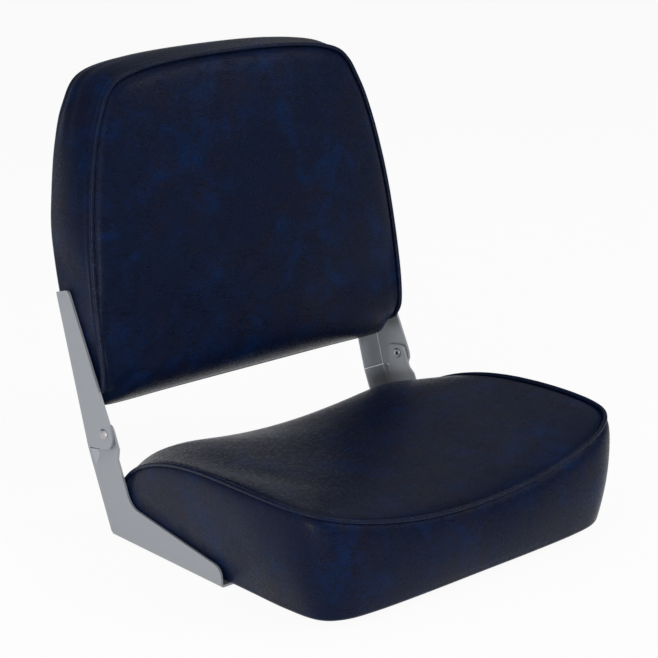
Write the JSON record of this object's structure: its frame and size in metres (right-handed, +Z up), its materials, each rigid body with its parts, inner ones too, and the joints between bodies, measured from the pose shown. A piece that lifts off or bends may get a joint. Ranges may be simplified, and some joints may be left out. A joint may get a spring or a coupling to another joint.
{
  "type": "folding boat seat",
  "caption": "Folding seat for a small boat: padded seat and padded back with piped edges, joined by pressed side brackets so the back folds forward flat.",
  "frame": {"origin": "centre of the square pattern of four mounting nuts, on the plane of the seat pan's underside", "axes": "+Z up out of the pan, +X along the hinge axis towards the seat's own left side when sitting in it, -Y the way the seat faces"},
  "size_m": [0.4344, 0.4408, 0.469],
  "materials": {
    "navy_vinyl": "satin marine vinyl with a faint marbled pattern",
    "piping_vinyl": "satin vinyl welt",
    "cream_foam": "open polyurethane foam",
    "black_plastic": "matt moulded plastic",
    "bracket_grey": "satin light grey coated sheet",
    "bright_steel": "bright plated steel",
    "washer_nylon": "natural nylon"
  },
  "bodies": {
    "seat": {"seat_pan": "black_plastic", "mounting_tee_nut_1": "bright_steel", "mounting_tee_nut_2": "bright_steel", "mounting_tee_nut_3": "bright_steel", "mounting_tee_nut_4": "bright_steel", "seat_foam": "cream_foam", "seat_top_panel": "navy_vinyl", "seat_side_band": "navy_vinyl", "seat_piping": "piping_vinyl", "lower_bracket_left": "bracket_grey", "lower_bracket_right": "bracket_grey", "lower_bracket_screw_1": "bright_steel", "lower_bracket_screw_2": "bright_steel", "lower_bracket_screw_3": "bright_steel", "lower_bracket_screw_4": "bright_steel", "lower_bracket_screw_5": "bright_steel", "lower_bracket_screw_6": "bright_steel", "pivot_rivet_left": "bright_steel", "pivot_rivet_right": "bright_steel", "pivot_washer_left": "washer_nylon", "pivot_washer_right": "washer_nylon"},
    "back": {"back_board": "black_plastic", "back_foam": "cream_foam", "back_front_panel": "navy_vinyl", "back_side_band": "navy_vinyl", "back_rear_panel": "navy_vinyl", "back_piping": "piping_vinyl", "upper_bracket_left": "bracket_grey", "upper_bracket_right": "bracket_grey", "upper_bracket_screw_1": "bright_steel", "upper_bracket_screw_2": "bright_steel", "upper_bracket_screw_3": "bright_steel", "upper_bracket_screw_4": "bright_steel", "upper_bracket_screw_5": "bright_steel", "upper_bracket_screw_6": "bright_steel"}
  },
  "joints": [
    {"name": "back_fold", "type": "hinge", "parent": "seat", "child": "back", "pos_m": [0, 0.165, 0.108], "axis": [1, 0, 0], "range_deg": [0, 90]}
  ]
}
